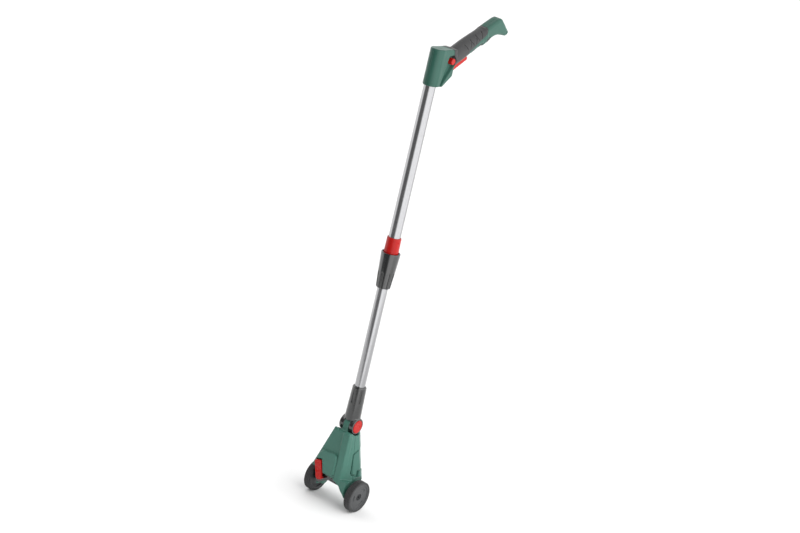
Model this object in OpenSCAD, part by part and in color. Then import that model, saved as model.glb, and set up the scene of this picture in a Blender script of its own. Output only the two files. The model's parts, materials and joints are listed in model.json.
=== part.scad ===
// Telescopic wheeled pole: a trigger handle on top, two sliding tubes with a
// twist clamp, a tilting fork, and a two-wheeled shoe whose dock holds the tool.
// Origin: centre of the dock's seat face. +Z runs up the pole, +Y to the user's
// side (the grip points there), X is the direction of the wheel axles.

/* [Wheels] */
// Radius of a wheel over its tread
wheel_r = 34.3; // [32:0.1:36]
// Width of a wheel
wheel_w = 15; // [13:0.5:16]
// Distance over the outer faces of both wheels
wheel_track = 127; // [124:1:130]
// Height of the dock's seat above the wheel axles
seat_h = 60; // [58:1:62]

/* [Tilt joint] */
// Height of the tilt pivot above the wheel axles
pivot_h = 144; // [143:1:146]
// Radius of the fork's round hubs
hub_r = 18; // [17:0.5:18]
// Thickness of the tongue between the hubs
tongue_w = 14; // [13:0.5:14]
// Distance over the outer faces of the hubs
hub_span = 37; // [36:0.5:38]

/* [Pole] */
// Outer diameter of the upper tube
upper_d = 25; // [24.8:0.1:25.2]
// Outer diameter of the lower tube
lower_d = 22; // [21.8:0.1:22]
// Wall of both tubes
tube_wall = 1.2; // [1:0.1:1.2]
// Height of the top end of the fork sleeve above the wheel axles
sleeve_top_h = 230.5; // [225:0.5:235]
// Height of the lower end of the clamp nut above the wheel axles
nut_h = 452; // [440:1:460]
// Length of the clamp nut
nut_len = 77; // [75:1:80]
// Height of the upper end of the lower tube above the wheel axles
lower_top_h = 640; // [620:1:660]

/* [Handle] */
// Height of the handle's lower end above the wheel axles
handle_h = 884; // [870:1:900]
// Height of the head, from its lower end to its flat top
head_h = 76; // [75:1:78]
// Half the width of the head
head_half_w = 16; // [15.5:0.5:16.5]
// Angle of the grip above the square of the pole
grip_rise = 28.5; // [28:0.5:29]
// Half the width of the grip
grip_half_w = 15.5; // [15:0.5:16]
// Half the depth of the grip
grip_half_d = 18; // [17.5:0.5:18.5]
// Wall of the handle shells
shell_wall = 2.5; // [2:0.1:3]

/* [Hidden] */
$fn = 64;

green = [0.16, 0.36, 0.29];
black = [0.10, 0.10, 0.11];
grey = [0.33, 0.34, 0.36];
red = [0.78, 0.10, 0.10];
alloy = [0.70, 0.71, 0.73];
steel = [0.62, 0.62, 0.64];
brass = [0.80, 0.62, 0.30];
gap = 0.3;            // between plastic pieces that move past each other
fit = 0.05;           // running clearance of a shaft in its bore

axle_z = -seat_h;
pivot_z = pivot_h - seat_h;
sleeve_top_z = sleeve_top_h - seat_h;
nut_z = nut_h - seat_h;
nut_top_z = nut_z + nut_len;
lower_top_z = lower_top_h - seat_h;
handle_z = handle_h - seat_h;

upper_r = upper_d / 2;
lower_r = lower_d / 2;
upper_bore_r = upper_r - tube_wall;
lower_bore_r = lower_r - tube_wall;
tongue_half = tongue_w / 2;
hub_in = tongue_half + gap;       // inner face of a hub
hub_out = hub_span / 2;           // outer face of a hub
wheel_out = wheel_track / 2;
wheel_in = wheel_out - wheel_w;

// A cylinder of radius r along X from x0 to x1, its axis through (y, z)
module x_rod(r, x0, x1, y = 0, z = 0) {
    translate([x0, y, z]) rotate([0, 90, 0]) cylinder(r = r, h = x1 - x0);
}

// A box from corner a to corner b
module box(a, b) {
    translate(a) cube(b - a);
}

// An outline in the (Y, Z) plane, extruded from x0 to x1
module side_plate(points, x0, x1) {
    translate([x0, 0, 0]) rotate([90, 0, 90]) linear_extrude(x1 - x0) polygon(points);
}

// An outline in the (X, Z) plane, extruded from y0 to y1
module front_plate(points, y0, y1) {
    translate([0, y1, 0]) rotate([90, 0, 0]) linear_extrude(y1 - y0) polygon(points);
}

// Directions of the ring at point i of a route, across it in the plane x = 0
function route_across(route, i) =
    let (last = len(route) - 1, d = route[min(i + 1, last)] - route[max(i - 1, 0)])
    [0, -d[2], d[1]] / norm(d);

// A round lead of radius r along a route of points in the plane x = 0
module lead(route, r, sides = 8) {
    rings = len(route);
    points = [for (i = [0 : rings - 1]) for (k = [0 : sides - 1])
        let (a = k * 360 / sides) route[i] + r * ([cos(a), 0, 0] + sin(a) * route_across(route, i))];
    walls = [for (i = [0 : rings - 2]) for (k = [0 : sides - 1])
        let (n = (k + 1) % sides)
        [i * sides + k, i * sides + n, (i + 1) * sides + n, (i + 1) * sides + k]];
    first = [for (k = [0 : sides - 1]) sides - 1 - k];
    last = [for (k = [0 : sides - 1]) (rings - 1) * sides + k];
    polyhedron(points, concat(walls, [first, last]));
}

// ---- Shoe ------------------------------------------------------------------
shoe_top = pivot_z - 13;          // level of the shoulders
shoe_low = axle_z + 27;           // level where the legs begin
shoe_top_half = 20;
shoe_slope = 0.327;               // widening of the shoe on its way down
front_y = -28;
side_y = 8;                       // where the side faces turn to the back
back_y = 26;
split_y = -6;                     // front and rear shells meet here
ridge_x = 22;                     // right edge of the front face
shoe_wall = 3;
well_r = 41;
leg_half_w = wheel_in - 1.5;      // outer face of a leg
boss_r = 11;
axle_r = 4;

function shoe_half(z) = shoe_top_half + shoe_slope * (shoe_top - z);

// Outline of the shoe between two levels, from -left to +right, drawn in by t
function shoe_outline(z0, z1, left_cut, right_cut, right_max, t) = [
    [-shoe_half(z1) + left_cut + t, z1], [-shoe_half(z0) + left_cut + t, z0],
    [min(right_max, shoe_half(z0) - right_cut) - t, z0],
    [min(right_max, shoe_half(z1) - right_cut) - t, z1]
];

// The A-shaped body above the legs
module shoe_hood(t = 0) {
    z0 = shoe_low;
    z1 = shoe_top - t;
    hull() {
        front_plate(shoe_outline(z0, z1, 0, 0, ridge_x, t), front_y + t, front_y + t + 1);
        front_plate(shoe_outline(z0, z1, 0, 0, 99, t), side_y - 1, side_y);
        front_plate(shoe_outline(z0, z1, 8, 8, 99, t), back_y - t - 1, back_y - t);
    }
}

// A leg on the right-hand side, down to the wheel axle
module shoe_leg() {
    inner = 33;
    hull() {
        box([18, front_y, shoe_low - 1], [leg_half_w, back_y - 6, shoe_low + 3]);
        box([inner, front_y + 4, axle_z + 3], [leg_half_w, front_y + 7, axle_z + 6]);
        x_rod(boss_r, inner, leg_half_w, 0, axle_z, $fn = 32);
    }
}

// Raised housing over the latch, on the front face
bump_y = front_y - 7;
module latch_bump() {
    z = axle_z;
    front_plate([[-44, z + 54], [-38, z + 70], [-31, z + 76], [0, z + 80], [6, z + 76],
                 [8, z + 69], [8, z + 33], [4, z + 30], [-38, z + 24]], bump_y, front_y + 3);
}

// Frame of the latch: X across the lever, Z up along it, Y through it
latch_lean = -17;
latch_pos = [-35.5, front_y - 1, axle_z + 43];
module at_latch() {
    translate(latch_pos) rotate([0, latch_lean, 0]) children();
}
latch_pin_r = 1.5;
lever_half = 9;
lever_up = 8.5;
lever_down = 35;
module latch_pocket() {
    at_latch() {
        box([-lever_half - 1, -12, -lever_down - 6], [lever_half + 1, 6, lever_up + 2]);
        box([-lever_half - 1, 5, -lever_down - 6], [lever_half + 1, 9, -lever_down + 5]);
        x_rod(latch_pin_r, -lever_half - 3, lever_half + 3);
    }
}

// Everything the two shoe shells share, before they are split
cradle_half = 23;
cradle_front = -22;
cradle_back = 15;
cradle_roof = 4;
module shoe_body() {
    difference() {
        union() {
            difference() {
                shoe_hood();
                shoe_hood(shoe_wall);
            }
            intersection() {
                shoe_hood();
                box([-cradle_half - 4, front_y, shoe_low],
                    [cradle_half + 4, back_y, cradle_roof + 4]);
            }
            for (side = [0, 1]) mirror([side, 0, 0]) shoe_leg();
            latch_bump();
        }
        // room for the cradle and for the tool below it
        box([-cradle_half, cradle_front, axle_z - 20], [cradle_half, cradle_back, cradle_roof]);
        front_plate([[-33, axle_z - 20], [-33, axle_z + 2], [-21, axle_z + 20],
                     [21, axle_z + 20], [33, axle_z + 2], [33, axle_z - 20]],
                    front_y - 9, back_y + 1);
        // saddles around the fork's hubs
        for (side = [-1, 1]) {
            x_rod(hub_r + 1, side > 0 ? tongue_half : -hub_out - 2,
                  side > 0 ? hub_out + 2 : -tongue_half, 0, pivot_z);
            // wheel wells and axle holes
            x_rod(well_r, side > 0 ? leg_half_w : -99, side > 0 ? 99 : -leg_half_w, 0, axle_z);
        }
        x_rod(axle_r, -leg_half_w - 1, leg_half_w + 1, 0, axle_z);
        latch_pocket();
        contact_room();
        for (p = shoe_screw_places) translate([p[0], split_y - 6, p[1]]) rotate([-90, 0, 0])
            cylinder(r = 2, h = 99);
    }
}

// The tongue that stands between the fork's hubs
module shoe_tongue(extra = 0) {
    half = tongue_half + extra;
    x_rod(hub_r - 0.2 + extra, -half, half, 0, pivot_z);
    box([-half, 0.2 - hub_r - extra, cradle_roof + 20 - extra], [half, hub_r - 0.2 + extra, pivot_z]);
}

gear_r = 9;
web_half = 2;                     // half the tongue's web between the gear pockets
module tongue_holes() {
    x_rod(tilt_axle_r, -9, 9, 0, pivot_z);
    for (side = [0, 1]) mirror([side, 0, 0])
        x_rod(gear_r + gap, web_half, tongue_half + 1, 0, pivot_z);
    box([-2.5, 10.5, 0], [2.5, 15.5, pivot_z + hub_r]);
}

shoe_screw_places = [[-16, shoe_top - 12], [16, shoe_top - 12],
                     [-28, axle_z + 55], [28, axle_z + 55]];

module shoe_front_shell() {
    color(green) difference() {
        union() {
            intersection() {
                shoe_body();
                box([-99, -99, -150], [99, split_y, 150]);
            }
            shoe_tongue();
        }
        tongue_holes();
    }
}

module shoe_rear_shell() {
    color(green) difference() {
        intersection() {
            shoe_body();
            box([-99, split_y, -150], [99, 99, 150]);
        }
        shoe_tongue(0.01);
    }
}

// Black liner with the seat face at z = 0
dock_half = 21;
dock_front = -20;
dock_back = 13;
cradle_low = axle_z + 12;
module dock_cradle() {
    color(black) difference() {
        box([-cradle_half, cradle_front, cradle_low], [cradle_half, cradle_back, cradle_roof]);
        box([-dock_half, dock_front, cradle_low - 1], [dock_half, dock_back, 0]);
        // notch that lets the latch's hook through the front wall
        latch_pocket();
        box([-cradle_half - 1, cradle_front - 1, cradle_low - 1], [-13, dock_front + 1, cradle_low + 6]);
        // guide windows in the side walls
        for (x = [-cradle_half - 1, dock_half - 1])
            box([x, -6, cradle_low + 6], [x + 3, 4, cradle_low + 14]);
        contact_room();
    }
}

// Contacts in the seat
contact_y = 5;
module contact_room() {
    box([-9, contact_y, -1], [9, contact_y + 6, 16]);
}
module contact_block() {
    color(black) difference() {
        box([-9, contact_y, 0.5], [9, contact_y + 6, 16]);
        contact_places() cylinder(r = 1, h = 40, center = true);
    }
}
module contact_places() {
    for (x = [-5, 0, 5]) translate([x, contact_y + 3, 0]) children();
}
module contact_pins() {
    color(brass) contact_places() translate([0, 0, 0.3]) cylinder(r = 1, h = 17.2);
}

module shoe_screws() {
    color(steel) for (p = shoe_screw_places) {
        head_y = shoe_half(p[1]) > 35 ? side_y + 8 : back_y - 6;
        translate([p[0], split_y - 6, p[1]]) rotate([-90, 0, 0])
            cylinder(r = 2, h = head_y - split_y + 7);
    }
}

dock_lead_y = 13;
module dock_lead() {
    color(black) lead([[0, dock_lead_y, pivot_z + 5], [0, dock_lead_y, 24],
                       [0, contact_y + 3, 19.5]], 1.8);
}

// ---- Latch -----------------------------------------------------------------
module latch_lever() {
    color(red) at_latch() difference() {
        side_plate([[-6.5, lever_up - 4], [-5, lever_up - 1], [-2, lever_up], [2, lever_up - 2],
                        [2, -4], [-0.5, -10], [-0.5, -lever_down + 5], [9, -lever_down + 3.5],
                        [9, -lever_down + 1], [-5, -lever_down], [-7, -lever_down + 6],
                        [-5.5, -14]], -lever_half, lever_half);
        x_rod(latch_pin_r + fit, -20, 20);
    }
}
module latch_pin() {
    color(steel) at_latch() x_rod(latch_pin_r, -lever_half - 3, lever_half + 3);
}
module latch_spring() {
    color(steel) at_latch() translate([0, 0.1, -15]) rotate([-90, 0, 0]) difference() {
        cylinder(r = 3, h = 5.8);
        translate([0, 0, -1]) cylinder(r = 2.2, h = 9);
    }
}

// ---- Wheels ----------------------------------------------------------------
tread_in = 28.5;                  // inner radius of the tyre
face_dish = 2;
module wheel_hub() {
    color(grey) translate([wheel_in, 0, axle_z]) rotate([0, 90, 0]) difference() {
        cylinder(r = tread_in, h = wheel_w);
        translate([0, 0, -1]) cylinder(r = axle_r + fit, h = wheel_w + 2);
        translate([0, 0, wheel_w - face_dish]) cylinder(r = tread_in - 0.5, h = face_dish + 1);
        translate([0, 0, wheel_w - 5]) cylinder(r = 7.5, h = 6);
        translate([0, 0, -1]) difference() {
            cylinder(r = tread_in - 3, h = 6);
            cylinder(r = 8, h = 7);
        }
    }
}
module wheel_tyre() {
    grooves = 3;
    color(black) translate([wheel_in, 0, axle_z]) rotate([0, 90, 0]) difference() {
        rotate_extrude() polygon([[tread_in, 0], [wheel_r - 2, 0], [wheel_r, 2],
            [wheel_r, wheel_w - 2], [wheel_r - 2, wheel_w], [tread_in, wheel_w]]);
        for (i = [1 : grooves]) translate([0, 0, i * wheel_w / (grooves + 1) - 0.6])
            difference() {
                cylinder(r = wheel_r + 1, h = 1.2);
                translate([0, 0, -1]) cylinder(r = wheel_r - 1, h = 4);
            }
    }
}
// Shoulder screw that carries a wheel
module wheel_axle() {
    color(steel) difference() {
        union() {
            x_rod(axle_r, leg_half_w - 13, wheel_out - 4.7, 0, axle_z);
            x_rod(6.5, wheel_out - 4.7, wheel_out - 2.5, 0, axle_z);
            x_rod(6.5, leg_half_w, wheel_in - gap, 0, axle_z);
        }
        x_rod(2.5, wheel_out - 4, wheel_out, 0, axle_z, $fn = 6);
    }
}
module left() { children(); }
module right() { mirror([1, 0, 0]) children(); }
module wheel_hub_left() left() wheel_hub();
module wheel_hub_right() right() wheel_hub();
module wheel_tyre_left() left() wheel_tyre();
module wheel_tyre_right() right() wheel_tyre();
module axle_left() left() wheel_axle();
module axle_right() right() wheel_axle();

// ---- Fork and tilt lock ----------------------------------------------------
sleeve_r = 17.2;
sleeve_top_r = 14.8;
sleeve_z = pivot_z + 11;
tube_seat_z = sleeve_z + 15;      // lower end of the lower tube
pocket_in = hub_in + 2.7;         // floor of the button pocket
button_r = 14.2;
tilt_axle_r = 4;
tongue_swing_r = hub_r + 2.2;     // clears the tongue's front corner at full tilt
module fork_sleeve() {
    color(black) difference() {
        union() {
            translate([0, 0, sleeve_z - 12]) rotate_extrude() polygon([[0, 0], [sleeve_r, 0],
                [sleeve_r, 12], [sleeve_top_r, sleeve_top_z - sleeve_z + 10.5],
                [sleeve_top_r - 1.5, sleeve_top_z - sleeve_z + 12],
                [0, sleeve_top_z - sleeve_z + 12]]);
            for (x = [hub_in, -hub_out]) x_rod(hub_r, x, x + hub_out - hub_in, 0, pivot_z);
        }
        // room for the tongue and its swing
        box([-hub_in, -40, pivot_z - 30], [hub_in, 40, pivot_z]);
        x_rod(tongue_swing_r, -hub_in, hub_in, 0, pivot_z);
        translate([0, 0, pivot_z]) cylinder(r = 7, h = 60);
        translate([0, 0, tube_seat_z]) cylinder(r = lower_r, h = 99);
        for (side = [-1, 1]) {
            x_rod(button_r + gap, side > 0 ? pocket_in : -hub_out - 1,
                  side > 0 ? hub_out + 1 : -pocket_in, 0, pivot_z);
            x_rod(gear_r + fit, side > 0 ? hub_in - 1 : -pocket_in - 1,
                  side > 0 ? pocket_in + 1 : -hub_in + 1, 0, pivot_z);
        }
        // grip flutes in the upper half
        for (a = [30 : 60 : 330]) rotate([0, 0, a]) translate([sleeve_top_r + 1, 0, sleeve_top_z - 34])
            cylinder(r = 1.6, h = 28);
    }
}
module lower_tube() {
    color(alloy) translate([0, 0, tube_seat_z]) difference() {
        cylinder(r = lower_r, h = lower_top_z - tube_seat_z);
        translate([0, 0, -1]) cylinder(r = lower_bore_r, h = lower_top_z - tube_seat_z + 2);
    }
}
module guide_bush() {
    color(black) translate([0, 0, lower_top_z]) difference() {
        union() {
            cylinder(r = upper_bore_r - fit, h = 14);
            translate([0, 0, -12]) cylinder(r = lower_bore_r, h = 12);
        }
        translate([0, 0, -13]) cylinder(r = 7.5, h = 30);
    }
}
module tilt_axle() {
    color(steel) x_rod(tilt_axle_r, -12, 12, 0, pivot_z);
}
module sleeve_lead() {
    translate([0, 0, pivot_z + hub_r + 4]) color(black) cylinder(r = 1.8, h = 16);
}
// Red push button, its return spring and the lock gear it carries, right-hand side
button_back = pocket_in + 4.6;
gear_in = 5.2;                    // inner end of a gear, which a push of 3 mm clears of the hub
gear_w = 4.8;
module tilt_button() {
    color(red) difference() {
        union() {
            x_rod(button_r - 0.8, hub_out, hub_out + 0.6, 0, pivot_z);
            x_rod(button_r, button_back, hub_out, 0, pivot_z);
        }
        x_rod(tilt_axle_r + gap, button_back - 1, hub_out - 1.5, 0, pivot_z);
    }
}
module tilt_gear() {
    teeth = 12;
    color(steel) difference() {
        union() {
            x_rod(gear_r - 1.6, gear_in, button_back, 0, pivot_z);
            for (i = [0 : teeth - 1]) translate([0, 0, pivot_z]) rotate([i * 360 / teeth, 0, 0])
                box([gear_in, -1.1, gear_r - 3], [gear_in + gear_w, 1.1, gear_r - fit]);
        }
        x_rod(tilt_axle_r + fit, gear_in - 1, button_back + 1, 0, pivot_z);
    }
}
module tilt_spring() {
    color(steel) difference() {
        x_rod(12.5, pocket_in, button_back, 0, pivot_z);
        x_rod(11.5, pocket_in - 1, button_back + 1, 0, pivot_z);
    }
}
module tilt_button_left() left() tilt_button();
module tilt_button_right() right() tilt_button();
module tilt_gear_left() left() tilt_gear();
module tilt_gear_right() right() tilt_gear();
module tilt_spring_left() left() tilt_spring();
module tilt_spring_right() right() tilt_spring();

// ---- Telescope clamp -------------------------------------------------------
tube_low_z = nut_z + 53;          // lower end of the upper tube
tube_top_in_head = 60;
collar_r = 15.4;
collar_top_r = 14.9;
collar_up = 33;                   // height of the collar above the nut
module upper_tube() {
    h = handle_z + tube_top_in_head - tube_low_z;
    color(alloy) translate([0, 0, tube_low_z]) difference() {
        cylinder(r = upper_r, h = h);
        translate([0, 0, -1]) cylinder(r = upper_bore_r, h = h + 2);
        tube_cross_hole(handle_z - tube_low_z);
    }
}
module clamp_collar() {
    color(red) rotate_extrude() polygon([[upper_r, tube_low_z], [14, tube_low_z],
        [14, nut_top_z - 9], [collar_r, nut_top_z - 7], [collar_r, nut_top_z],
        [collar_top_r, nut_top_z + collar_up - 1], [collar_top_r - 1, nut_top_z + collar_up],
        [upper_r, nut_top_z + collar_up]]);
}
module clamp_collet() {
    low = nut_z + 8;
    slots = 4;
    color(black) difference() {
        rotate_extrude() polygon([[lower_r + fit, low], [12.2, low], [13.7, low + 10],
            [13.7, tube_low_z], [lower_r + fit, tube_low_z]]);
        for (i = [0 : slots - 1]) rotate([0, 0, i * 360 / slots])
            box([5, -0.8, low - 1], [20, 0.8, tube_low_z - 12]);
    }
}
nut_top_r = 20.2;
nut_mid_r = 17.8;
nut_low_r = 15;
module clamp_nut() {
    flutes = 12;
    mid = nut_z + 37;
    color(black) difference() {
        rotate_extrude() polygon([[11.8, nut_z], [nut_low_r - 0.8, nut_z], [nut_low_r, nut_z + 1.5],
            [nut_mid_r, mid], [nut_top_r, nut_top_z - 1], [nut_top_r - 0.6, nut_top_z],
            [17.2, nut_top_z], [15.6, nut_top_z - 8], [14.3, nut_top_z - 12], [14.3, nut_z + 20],
            [12.7, nut_z + 7], [11.8, nut_z + 6]]);
        for (i = [0 : flutes - 1]) rotate([0, 0, i * 360 / flutes])
            translate([nut_low_r + 0.5, 0, nut_z - 1]) rotate([0, 4, 0]) cylinder(r = 1.6, h = 36);
    }
}

// Curly lead inside the lower tube, as the solid of its outer shape, and the
// straight lead that dips into its hollow as the pole slides together
module coiled_lead() {
    low = tube_seat_z + 18;
    color(black) translate([0, 0, low]) difference() {
        cylinder(r = 6, h = lower_top_z + 12 - low);
        translate([0, 0, -1]) cylinder(r = 2.4, h = lower_top_z + 14 - low);
    }
}
module upper_lead() {
    low = lower_top_z + 20;
    color(black) translate([0, 0, low])
        cylinder(r = 1.8, h = handle_z + tube_top_in_head - 8 - low);
}

// ---- Handle ----------------------------------------------------------------
// The handle is drawn from the centre of its lower end, in (Y, Z)
head_back = 46;
grip_root = [30, 45.3];
grip_len = 78;
taper_root = [94, 80.2];          // where the grip begins to narrow
taper_rise = 25.3;
taper_len = 44;
taper_half_w = 14.5;
taper_half_d = 16.2;
pommel_half_w = 13;
pommel_outline = [[124, 108], [138, 118], [150, 124.5], [174, 136.3], [179, 137.3], [184, 136.6],
    [189, 132.6], [215.5, 110.5], [217, 107.5], [214, 103.5], [208, 100.8], [195, 102.8],
    [181, 103.6], [170, 102], [160, 98], [150, 91], [135, 82]];
pommel_hollow = [[150, 98], [160, 103.5], [200, 107], [206, 110], [184, 127], [160, 120]];
head_outline = [[-16, 0], [-16, head_h], [head_back, head_h], [head_back, 22], [20, 0]];

module at_handle() {
    translate([0, 0, handle_z]) children();
}
// Frame along the grip: Z runs along it, Y points to its underside
module along_grip() {
    at_handle() translate([0, grip_root[0], grip_root[1]]) rotate([grip_rise - 90, 0, 0]) children();
}
module stadium(half_w, half_d) {
    for (y = [half_w - half_d, half_d - half_w]) translate([0, y]) circle(r = half_w);
    square([2 * half_w, 2 * (half_d - half_w)], center = true);
}
module head_form(t) {
    at_handle() intersection() {
        union() {
            translate([0, 0, t]) cylinder(r = head_half_w - 0.7 - t, h = head_h - 2 * t);
            box([t - head_half_w, 0, t], [head_half_w - t, head_back - t, head_h - t]);
        }
        side_plate(head_outline, -30, 30);
    }
}
module grip_form(t) {
    along_grip() translate([0, 0, t]) linear_extrude(grip_len)
        stadium(grip_half_w - t, grip_half_d - t);
    at_handle() translate([0, taper_root[0], taper_root[1]]) rotate([taper_rise - 90, 0, 0])
        linear_extrude(taper_len - t) stadium(taper_half_w - t, taper_half_d - t);
}
module pommel_form() {
    at_handle() side_plate(pommel_outline, -pommel_half_w, pommel_half_w);
}
module handle_form() {
    head_form(0);
    grip_form(0);
    pommel_form();
}
// Soft zone of the grip in side view
pad_outline = [[34, 90], [34, 76], [39.5, 59], [47, 42], [87.5, 66.8], [88.5, 74], [91, 79],
    [109, 90], [127, 101.5], [134, 109], [138, 118], [132, 130], [90, 125]];
pad_t = 1.6;
module pad_zone() {
    at_handle() side_plate(pad_outline, -30, 30);
}
pin_place = [40.3, 30.4];         // trigger pivot
trigger_half = 6.5;
lock_place = [36, 52];
lock_r = 6.5;
handle_screw_places = [[22, 26], [84, 84], [150, 106], [196, 112]];

module handle_hollow() {
    difference() {
        union() {
            head_form(shell_wall);
            grip_form(shell_wall);
        }
        // solid socket around the tube, ribs that hold the switch, and screw bosses
        at_handle() {
            cylinder(r = upper_r + 2.5, h = tube_top_in_head + 2);
            for (p = handle_screw_places) x_rod(3.6, -20, 20, p[0], p[1]);
        }
        along_grip() box([-20, -4, 20], [20, -1, 42]);
        along_grip() box([-20, 4, 43], [20, 12, 46]);
    }
    at_handle() side_plate(pommel_hollow, shell_wall - pommel_half_w, pommel_half_w - shell_wall);
}
module handle_holes() {
    at_handle() {
        translate([0, 0, -1]) cylinder(r = upper_r, h = tube_top_in_head + 1);
        translate([0, 0, tube_top_in_head - 1]) cylinder(r = 6, h = 5);
        x_rod(1.5, -13, 13, pin_place[0], pin_place[1]);
        x_rod(lock_r + gap, -30, 30, lock_place[0], lock_place[1]);
        for (p = handle_screw_places) x_rod(1.6, -12, 12, p[0], p[1]);
        tube_cross_hole(0);
    }
    // slot for the trigger, open to the underside
    along_grip() box([-trigger_half - 0.7, 6, -9], [trigger_half + 0.7, 60, 67]);
    // micro switch
    along_grip() box([-5, -4, 20], [5, 6, 42]);
}
module handle_body() {
    difference() {
        handle_form();
        handle_hollow();
        handle_holes();
        intersection() {
            pad_zone();
            difference() {
                handle_form();
                grip_form(pad_t);
                head_form(pad_t);
            }
        }
    }
}
module handle_shell_left() {
    color(green) intersection() {
        handle_body();
        box([0, -50, handle_z - 10], [50, 300, handle_z + 200]);
    }
}
module handle_shell_right() {
    color(green) intersection() {
        handle_body();
        box([-50, -50, handle_z - 10], [0, 300, handle_z + 200]);
    }
}
module pad_body() {
    color(grey) difference() {
        intersection() {
            handle_form();
            pad_zone();
        }
        grip_form(pad_t);
        head_form(pad_t);
        handle_holes();
    }
}
module grip_pad_left() {
    intersection() {
        pad_body();
        box([0, -50, handle_z - 10], [50, 300, handle_z + 200]);
    }
}
module grip_pad_right() {
    intersection() {
        pad_body();
        box([-50, -50, handle_z - 10], [0, 300, handle_z + 200]);
    }
}
module handle_screws() {
    color(steel) at_handle() for (p = handle_screw_places) {
        x_rod(1.6, -9, 9, p[0], p[1]);
    }
}
cross_h = 20;
cross_y = 6;                      // off centre, so that the lead passes beside the pin
module tube_cross_hole(z) {
    translate([0, cross_y, z + cross_h]) rotate([0, 90, 0]) cylinder(r = 2, h = 29, center = true);
}
module tube_cross_pin() {
    color(steel) at_handle() tube_cross_hole(0);
}
handle_route = [[0, 0, tube_top_in_head - 8], [0, 0, 66], [0, 6, 70], [0, 38, 70],
    [0, 48, 65.5], [0, 48, 61.6]];
module handle_lead() {
    color(black) at_handle() lead(handle_route, 1.8);
}

// ---- Trigger and switch ----------------------------------------------------
// Drawn in the grip's frame: [along the grip, towards the underside]
trigger_outline = [[-3, 15], [-3, 21], [2, 25], [12, 27.8], [60, 27.2], [63, 25.5], [64.5, 22.5],
                   [63, 18], [58, 16], [34, 14], [34, 10.5], [26, 10.5], [26, 14], [6, 14]];
module trigger() {
    color(red) difference() {
        along_grip() translate([-trigger_half, 0, 0]) rotate([0, 90, 0])
            linear_extrude(2 * trigger_half)
                polygon([for (p = trigger_outline) [-p[0], p[1]]]);
        at_handle() x_rod(1.5 + fit, -20, 20, pin_place[0], pin_place[1]);
        along_grip() translate([0, 13, 50]) rotate([-90, 0, 0]) cylinder(r = 3.6, h = 5);
    }
}
module trigger_pin() {
    color(steel) at_handle() x_rod(1.5, -13, 13, pin_place[0], pin_place[1]);
}
module trigger_spring() {
    color(steel) along_grip() translate([0, 6.3, 50]) rotate([-90, 0, 0]) difference() {
        cylinder(r = 3, h = 11.6);
        translate([0, 0, -1]) cylinder(r = 2.2, h = 14);
    }
}
lock_out = head_half_w + 2;
module lock_off_button() {
    color(red) at_handle() difference() {
        x_rod(lock_r, -lock_out, lock_out, lock_place[0], lock_place[1]);
        x_rod(lock_r + 1, -3, 3, lock_place[0], lock_place[1] + lock_r + 3);
    }
}
module lock_off_spring() {
    color(steel) at_handle() translate([0, lock_place[0], lock_place[1] + 5]) difference() {
        cylinder(r = 2, h = 10);
        translate([0, 0, -1]) cylinder(r = 1.4, h = 12);
    }
}
module micro_switch() {
    color(black) along_grip() difference() {
        box([-5, -4, 20], [5, 6, 42]);
        translate([0, -3, 30]) rotate([-90, 0, 0]) cylinder(r = 1.5 + fit, h = 20);
    }
}
module switch_plunger() {
    color(red) along_grip() translate([0, 1, 30]) rotate([-90, 0, 0]) cylinder(r = 1.5, h = 9.2);
}

shoe_front_shell();
shoe_rear_shell();
dock_cradle();
contact_block();
contact_pins();
shoe_screws();
dock_lead();
latch_pin();
latch_spring();
latch_lever();
axle_left();
axle_right();
wheel_hub_left();
wheel_hub_right();
wheel_tyre_left();
wheel_tyre_right();
fork_sleeve();
lower_tube();
guide_bush();
tilt_axle();
sleeve_lead();
tilt_spring_left();
tilt_spring_right();
tilt_button_left();
tilt_button_right();
tilt_gear_left();
tilt_gear_right();
upper_tube();
clamp_collar();
clamp_collet();
clamp_nut();
coiled_lead();
upper_lead();
handle_shell_left();
handle_shell_right();
grip_pad_left();
grip_pad_right();
handle_screws();
tube_cross_pin();
handle_lead();
trigger();
trigger_pin();
trigger_spring();
lock_off_button();
lock_off_spring();
micro_switch();
switch_plunger();
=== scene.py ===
"""Looks of the wheeled pole: housings with blended edges, grips, wheels and their materials.

Lengths are in millimetres in the row frame until a mesh is made. The row's origin is the
dock's seat; +Z runs up the pole, +Y to the user and +X along the wheel axles.
"""

import json
import math

import bpy
import numpy as np
import openvdb as vdb
from mathutils import Matrix, Vector


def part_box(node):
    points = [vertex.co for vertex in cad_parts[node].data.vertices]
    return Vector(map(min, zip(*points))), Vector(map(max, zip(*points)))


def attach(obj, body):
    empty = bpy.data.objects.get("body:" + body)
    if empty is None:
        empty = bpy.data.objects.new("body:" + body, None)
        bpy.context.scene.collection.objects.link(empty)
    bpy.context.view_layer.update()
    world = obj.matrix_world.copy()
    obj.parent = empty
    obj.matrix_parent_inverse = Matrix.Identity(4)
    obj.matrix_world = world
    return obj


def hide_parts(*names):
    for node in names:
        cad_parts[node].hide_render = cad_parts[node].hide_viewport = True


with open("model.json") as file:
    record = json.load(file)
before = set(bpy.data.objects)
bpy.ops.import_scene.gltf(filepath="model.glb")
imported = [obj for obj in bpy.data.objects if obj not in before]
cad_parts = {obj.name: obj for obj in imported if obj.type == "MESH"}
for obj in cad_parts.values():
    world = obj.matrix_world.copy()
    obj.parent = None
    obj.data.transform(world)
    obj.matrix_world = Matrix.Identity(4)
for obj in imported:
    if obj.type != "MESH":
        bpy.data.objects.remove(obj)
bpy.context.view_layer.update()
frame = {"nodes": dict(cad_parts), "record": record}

MM = 0.001


def node_box(node):
    """Lowest and highest corner of a CAD node, in millimetres."""
    low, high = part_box(node)
    return [c / MM for c in low], [c / MM for c in high]


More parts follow.
